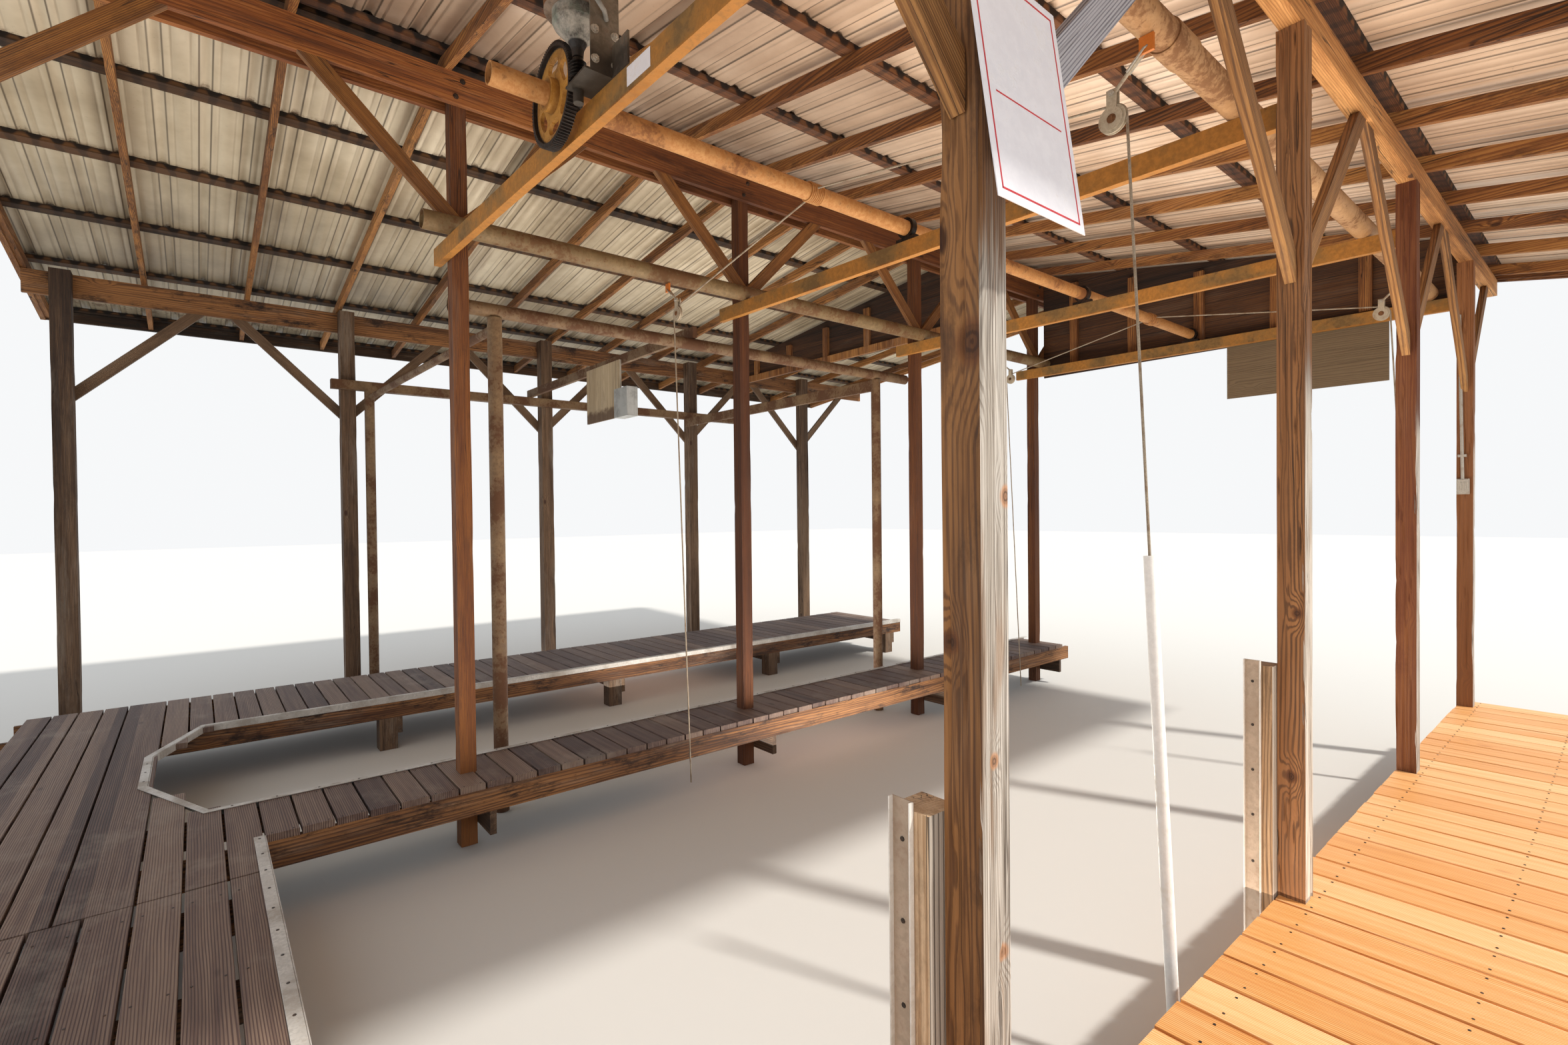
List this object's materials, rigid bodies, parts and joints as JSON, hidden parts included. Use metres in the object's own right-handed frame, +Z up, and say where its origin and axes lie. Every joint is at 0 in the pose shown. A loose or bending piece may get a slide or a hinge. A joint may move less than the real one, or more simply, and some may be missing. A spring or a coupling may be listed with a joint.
{
  "type": "boathouse",
  "caption": "Open timber boathouse with two slips, a ribbed metal roof, a worm driven winding pipe with cable falls, and weathered decks.",
  "frame": {"origin": "center of the footprint at the water line", "axes": "X along the slips to the open lake, Y from the right walkway to the left one, Z up"},
  "size_m": [10.336, 10.592, 4.8424],
  "materials": {
    "post_timber": "aged",
    "old_timber": "weathered",
    "beam_timber": "aged",
    "brace_timber": "aged",
    "dark_timber": "stained",
    "roof_metal": "dusty",
    "deck_orange": "stained",
    "deck_brown": "stained",
    "rusty_steel": "rusted",
    "dark_iron": "greasy",
    "gray_steel": "weathered",
    "motor_paint": "worn",
    "zinc": "dull",
    "cable_wire": "dull",
    "white_plastic": "dirty",
    "plywood": "aged"
  },
  "bodies": {
    "building": {"posts_right": "post_timber", "posts_middle": "post_timber", "posts_left": "old_timber", "beam_left": "old_timber", "braces_left": "old_timber", "dock_joists": "old_timber", "dock_bearers": "old_timber", "dock_piles": "old_timber", "beam_right": "beam_timber", "beam_middle": "beam_timber", "rafters_right": "beam_timber", "rafters_left": "beam_timber", "barge_boards": "beam_timber", "gable_studs": "beam_timber", "braces_right": "brace_timber", "braces_middle": "brace_timber", "slip_bumpers": "brace_timber", "purlins_right": "dark_timber", "purlins_left": "dark_timber", "fascia_boards": "dark_timber", "gable_boards": "dark_timber", "roof_sheet_right": "roof_metal", "roof_sheet_left": "roof_metal", "ridge_cap": "roof_metal", "walkway_right": "deck_orange", "head_deck": "deck_brown", "finger_pier": "deck_brown", "walkway_left": "deck_brown", "cross_channels": "rusty_steel", "pipe_bearings": "dark_iron", "drive_bracket": "gray_steel", "side_pipe_right": "gray_steel", "side_pipe_middle": "gray_steel", "small_lift_posts": "gray_steel", "small_lift_rails": "gray_steel", "small_lift_cross": "gray_steel", "hoist_motor": "motor_paint", "pulley_blocks": "zinc", "lift_cables": "cable_wire", "cable_sleeves": "white_plastic", "control_board": "plywood"},
    "winding_shaft": {"winding_pipe": "rusty_steel", "worm_wheel": "rusty_steel"},
    "worm_drive": {"worm": "dark_iron", "worm_shaft": "dark_iron"}
  },
  "joints": [
    {"name": "hoist_shaft", "type": "hinge", "parent": "building", "child": "winding_shaft", "pos_m": [-2.805, -2.02122, 3.75], "axis": [1, 0, 0], "continuous": true},
    {"name": "worm_spin", "type": "hinge", "parent": "building", "child": "worm_drive", "pos_m": [-2.805, -2.24922, 3.75], "axis": [0, 0, 1], "continuous": true}
  ],
  "couplings": [
    {"joint": "worm_spin", "follows": "hoist_shaft", "ratio": 96}
  ]
}
